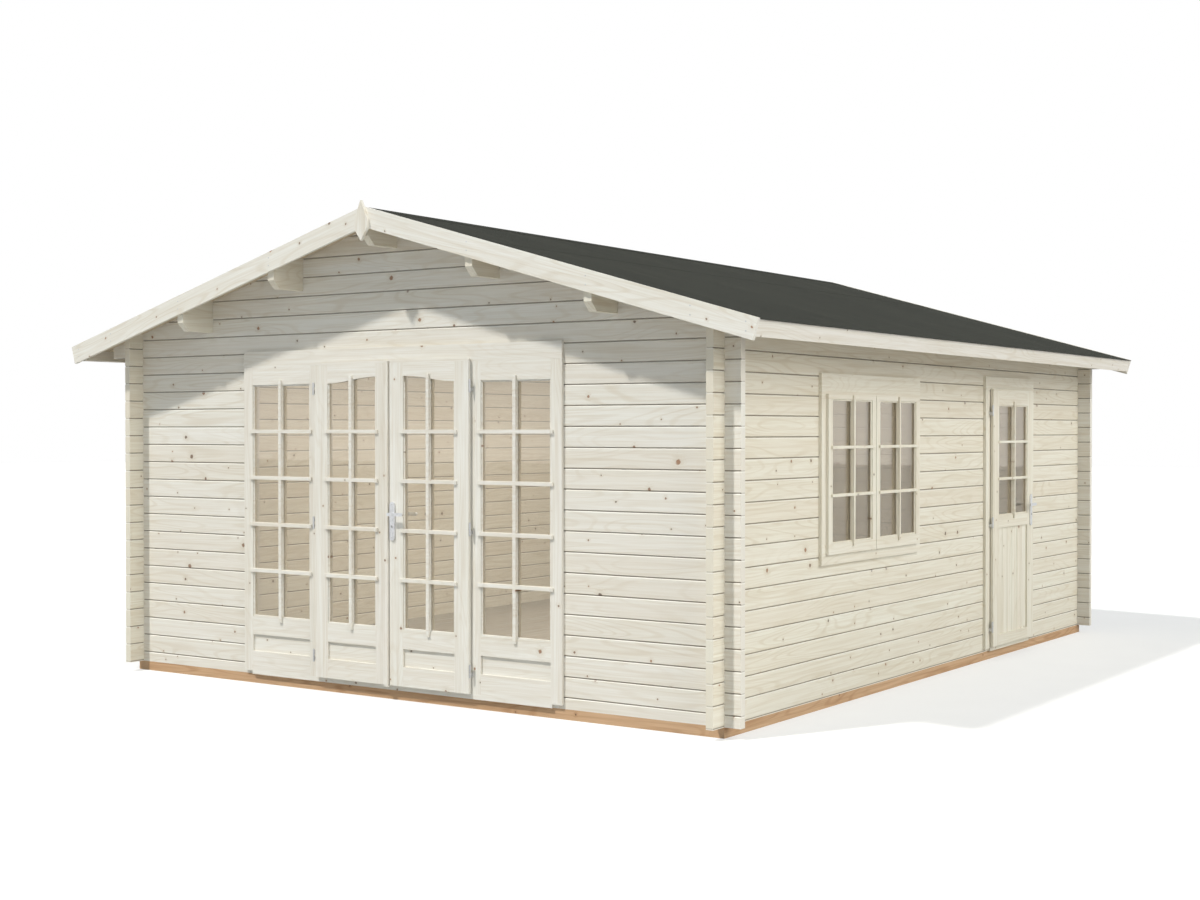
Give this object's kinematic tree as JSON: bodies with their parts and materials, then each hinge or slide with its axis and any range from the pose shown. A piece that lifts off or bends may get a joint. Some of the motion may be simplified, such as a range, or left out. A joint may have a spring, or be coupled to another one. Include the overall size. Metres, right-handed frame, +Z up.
{
  "type": "log cabin",
  "caption": "Garden cabin of interlocking squared logs with a low felt gable roof, glazed double doors between side lights, a side window and a side door.",
  "frame": {"origin": "on the ground, under the middle of the bounding box", "axes": "+X to the right wall, +Y from the front gable to the back, +Z up"},
  "size_m": [5.1956, 5.97, 2.902],
  "materials": {
    "raw_spruce": "planed, unpainted",
    "trim_spruce": "planed, unpainted",
    "joinery": "sanded, unpainted",
    "roof_boards": "planed tongue and groove",
    "floor_boards": "planed tongue and groove",
    "foundation": "pressure treated",
    "roof_felt": "mineral surfaced felt",
    "clear_glass": "clear",
    "hinge_metal": "zinc plated",
    "handle_metal": "satin"
  },
  "bodies": {
    "cabin": {"foundation_long_beams": "foundation", "foundation_cross_beams": "foundation", "floor": "floor_boards", "front_wall_left": "raw_spruce", "front_wall_right": "raw_spruce", "front_gable": "raw_spruce", "back_gable": "raw_spruce", "back_wall": "raw_spruce", "left_wall": "raw_spruce", "right_wall_front": "raw_spruce", "right_wall_below_window": "raw_spruce", "right_wall_middle": "raw_spruce", "right_wall_back": "raw_spruce", "right_wall_top": "raw_spruce", "purlins": "raw_spruce", "roof_boards_left": "roof_boards", "roof_boards_right": "roof_boards", "roof_felt": "roof_felt", "bargeboards": "trim_spruce", "eave_boards": "trim_spruce", "finial": "trim_spruce", "front_frame": "joinery", "side_lights": "clear_glass", "front_casing": "trim_spruce", "side_frame": "joinery", "side_casing": "trim_spruce", "window_frame": "joinery", "window_casing": "trim_spruce", "window_sashes": "joinery", "window_glass": "clear_glass", "frame_knuckles": "hinge_metal"},
    "front_door_left": {"front_leaf_left": "joinery", "front_glass_left": "clear_glass", "meeting_strip": "joinery", "front_knuckles_left": "hinge_metal"},
    "front_door_right": {"front_leaf_right": "joinery", "front_glass_right": "clear_glass", "front_knuckles_right": "hinge_metal", "front_plates": "handle_metal"},
    "front_handle": {"front_lever": "handle_metal"},
    "side_door": {"side_leaf": "joinery", "side_glass": "clear_glass", "side_knuckles": "hinge_metal", "side_plates": "handle_metal"},
    "side_handle": {"side_lever": "handle_metal"}
  },
  "joints": [
    {"name": "front_door_left_hinge", "type": "hinge", "parent": "cabin", "child": "front_door_left", "pos_m": [-0.608, -2.745, 0.5], "axis": [0, 0, -1], "range_deg": [0, 110]},
    {"name": "front_door_right_hinge", "type": "hinge", "parent": "cabin", "child": "front_door_right", "pos_m": [0.608, -2.745, 0.5], "axis": [0, 0, 1], "range_deg": [0, 110]},
    {"name": "front_handle_pivot", "type": "hinge", "parent": "front_door_right", "child": "front_handle", "pos_m": [0.029, -2.7, 1.093], "axis": [0, 1, 0], "range_deg": [0, 40], "stiffness_Nm_per_rad": 1.2, "springref_deg": -40.11},
    {"name": "side_door_hinge", "type": "hinge", "parent": "cabin", "child": "side_door", "pos_m": [2.29, 0.864, 0.5], "axis": [0, 0, -1], "range_deg": [0, 110]},
    {"name": "side_handle_pivot", "type": "hinge", "parent": "side_door", "child": "side_handle", "pos_m": [2.245, 1.59, 1.05], "axis": [1, 0, 0], "range_deg": [0, 40], "stiffness_Nm_per_rad": 1.2, "springref_deg": -40.11}
  ]
}
